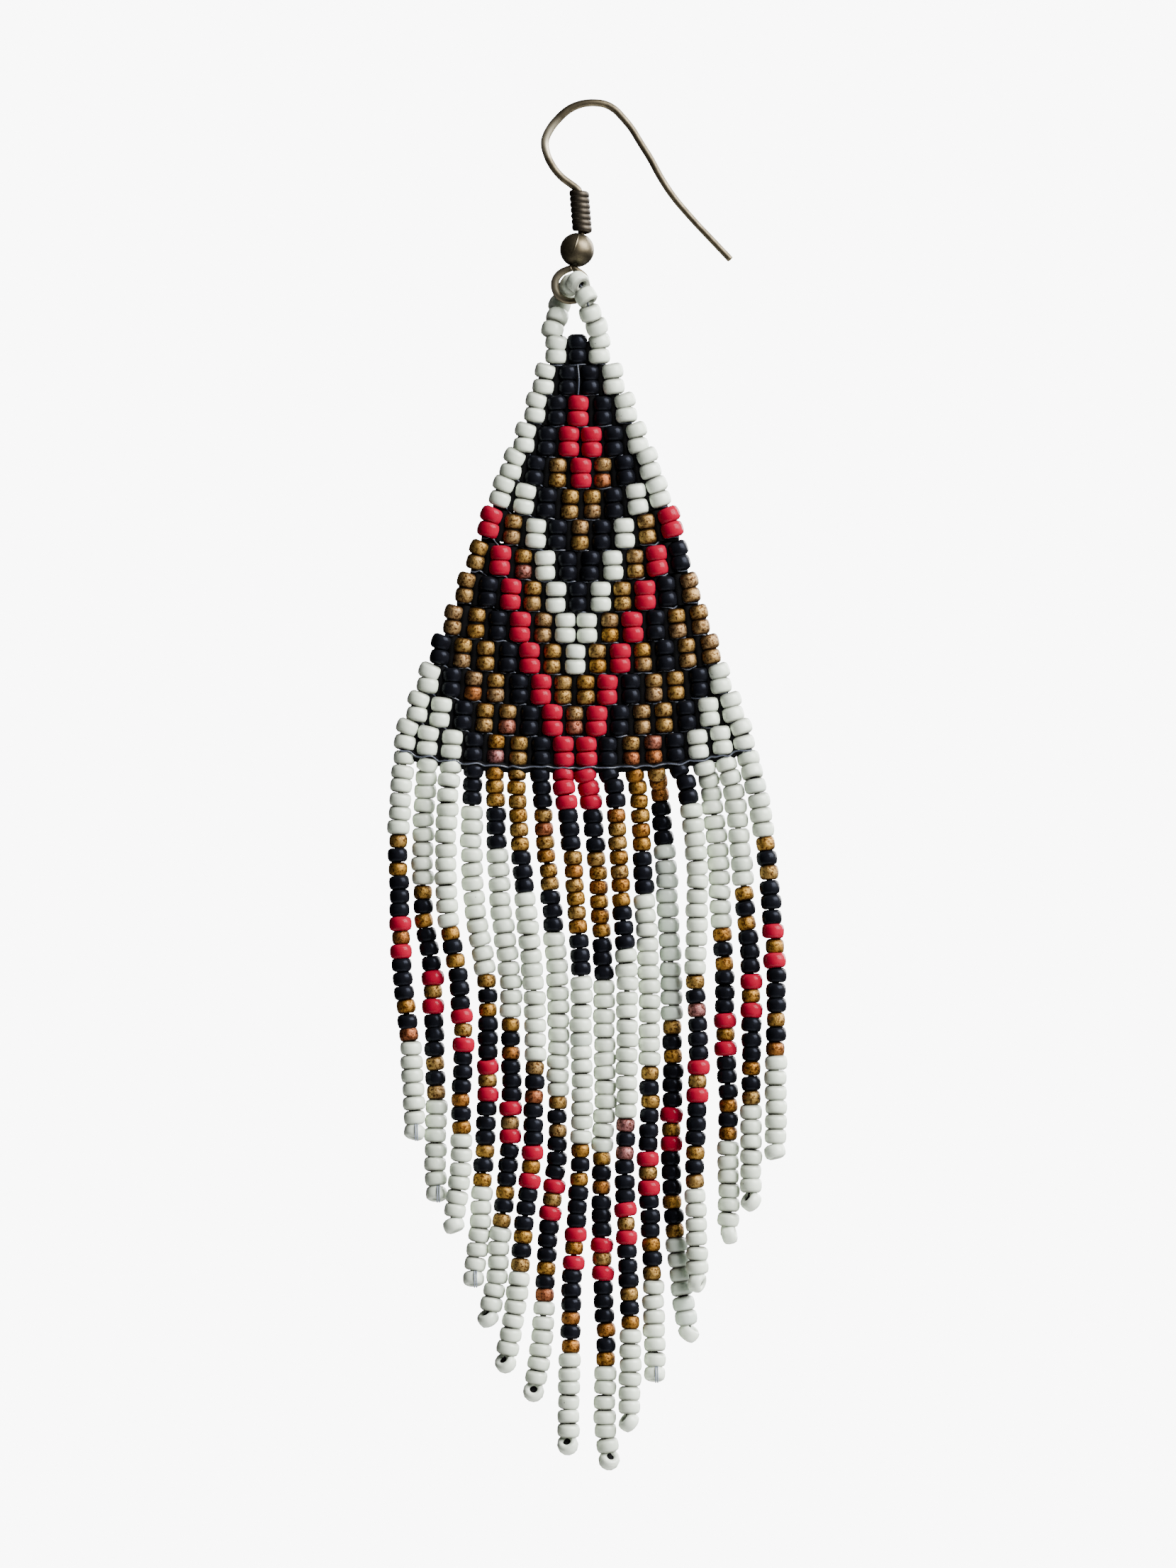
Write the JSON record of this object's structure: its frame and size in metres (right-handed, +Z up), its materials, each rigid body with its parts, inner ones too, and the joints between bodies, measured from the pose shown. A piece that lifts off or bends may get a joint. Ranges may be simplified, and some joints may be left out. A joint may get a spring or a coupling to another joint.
{
  "type": "beaded fringe earring",
  "caption": "Drop earring: a bronze ear wire with coil and ball, a loop of seed beads, a woven triangular bead panel and a long fringe of bead strings.",
  "frame": {"origin": "inside top of the ear wire's arch, where the earring hangs on the ear", "axes": "+Z up along the hanging earring, +X to the right of the front view towards the wire's free end, -Y out of the front face"},
  "size_m": [0.0383, 0.0052, 0.1323],
  "materials": {
    "antique_bronze": "antiqued, worn lighter on the outside of the bends",
    "glass_ivory": "opaque, satin gloss",
    "glass_black": "opaque, glossy",
    "glass_red": "opaque, glossy",
    "gold_glass": "opaque with a worn metallic coat, pale gold to copper",
    "thread": "waxed nylon beading thread"
  },
  "bodies": {
    "hook": {"ear_hook": "antique_bronze", "coil": "antique_bronze", "ball": "antique_bronze"},
    "drop": {"bead_loop": "glass_ivory", "woven_panel": "glass_black", "fringe_01": "glass_ivory", "fringe_02": "glass_ivory", "fringe_03": "glass_ivory", "fringe_04": "glass_ivory", "fringe_05": "glass_ivory", "fringe_06": "glass_ivory", "fringe_07": "glass_ivory", "fringe_08": "glass_ivory", "fringe_09": "glass_ivory", "fringe_10": "glass_ivory", "fringe_11": "glass_ivory", "fringe_12": "glass_ivory", "fringe_13": "glass_ivory", "fringe_14": "glass_ivory", "fringe_15": "glass_ivory", "fringe_16": "glass_ivory"}
  },
  "joints": [
    {"name": "drop_swing", "type": "hinge", "parent": "hook", "child": "drop", "pos_m": [-0.0019, 0, -0.0173], "axis": [0, 1, 0], "range_deg": [-20, 20]}
  ]
}
